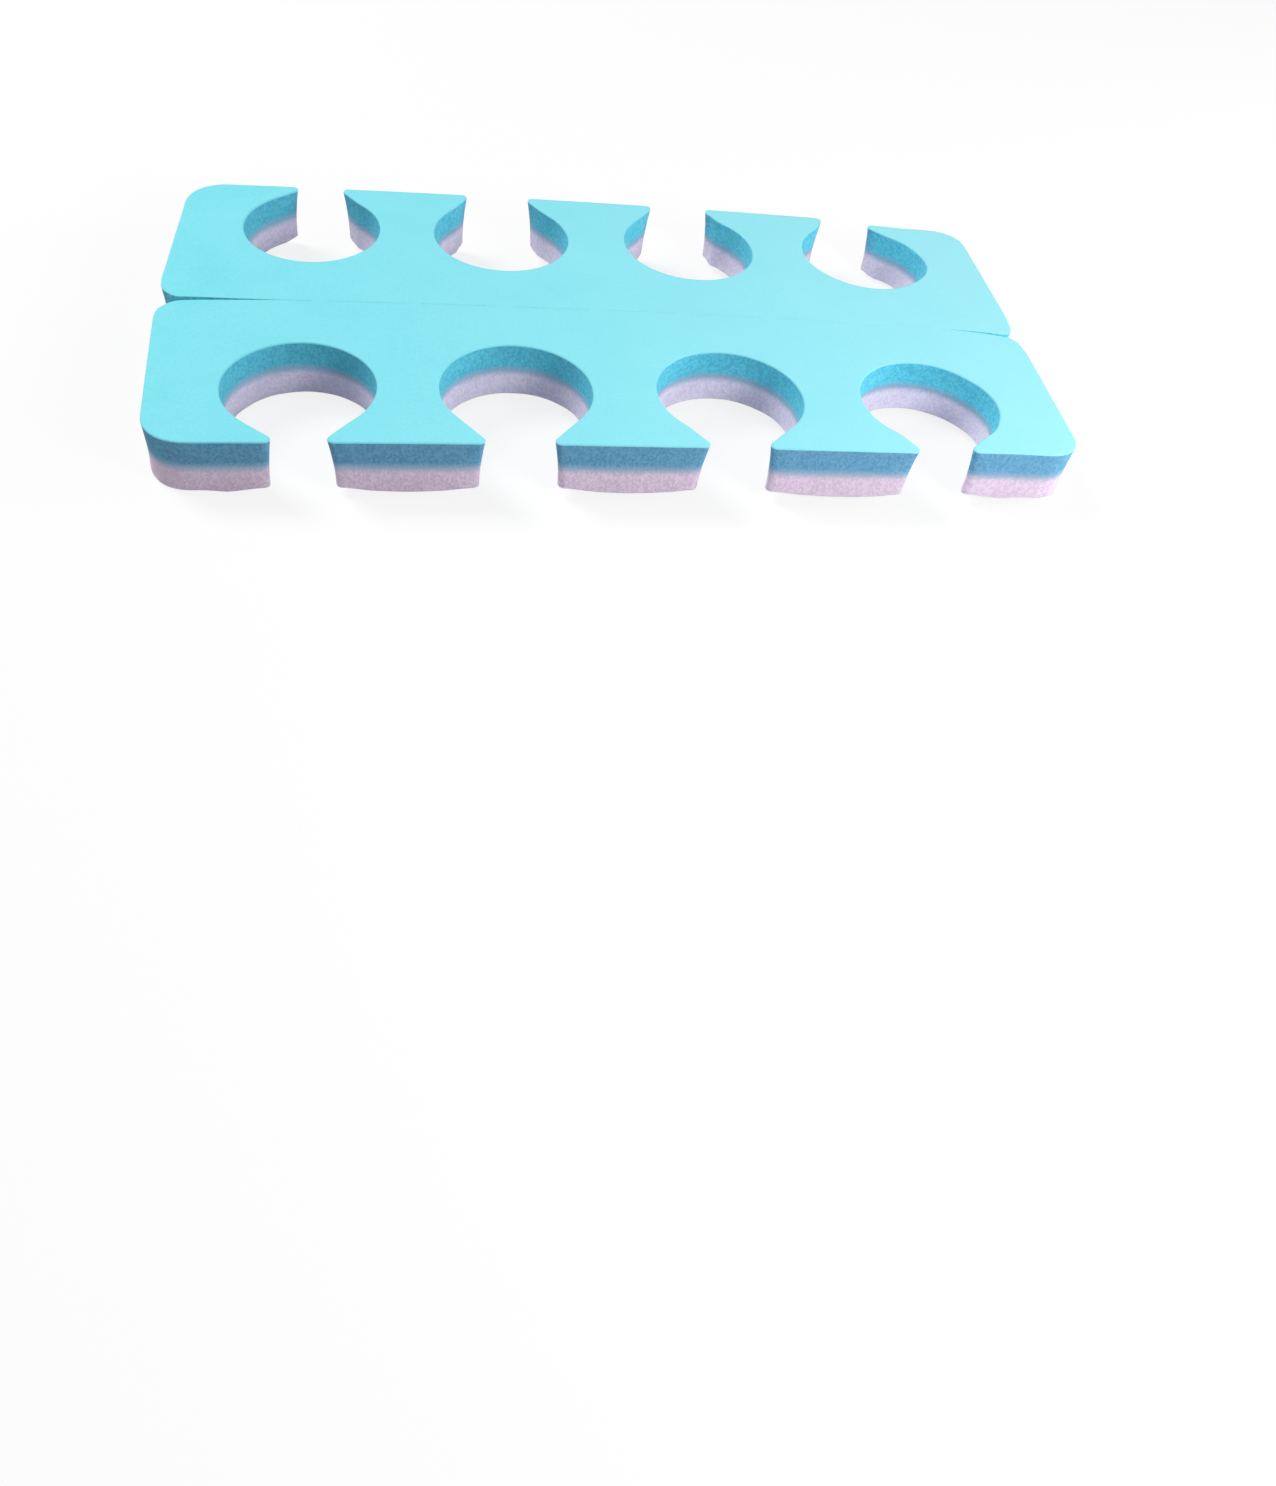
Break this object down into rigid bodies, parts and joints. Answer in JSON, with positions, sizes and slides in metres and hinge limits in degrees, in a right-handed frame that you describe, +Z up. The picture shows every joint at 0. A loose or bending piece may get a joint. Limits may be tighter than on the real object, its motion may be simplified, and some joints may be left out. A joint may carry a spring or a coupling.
{
  "type": "toe separator",
  "caption": "Foam toe separator pair in layered colours: flat combs with round toe openings, joined back to back along a tear line.",
  "frame": {"origin": "centre of the bounding box at the face that rests, on the spine between the two halves", "axes": "+X along the spine towards the squarer ends, +Y across the pair, +Z up from the lilac sheet to the aqua one"},
  "size_m": [0.0998, 0.051, 0.0062],
  "materials": {
    "lilac_foam": "matt closed-cell foam, pale lilac right through",
    "aqua_foam": "matt closed-cell foam, aqua right through"
  },
  "bodies": {
    "root": {"lower_foam_sheet": "lilac_foam", "upper_foam_sheet": "aqua_foam"}
  },
  "joints": []
}
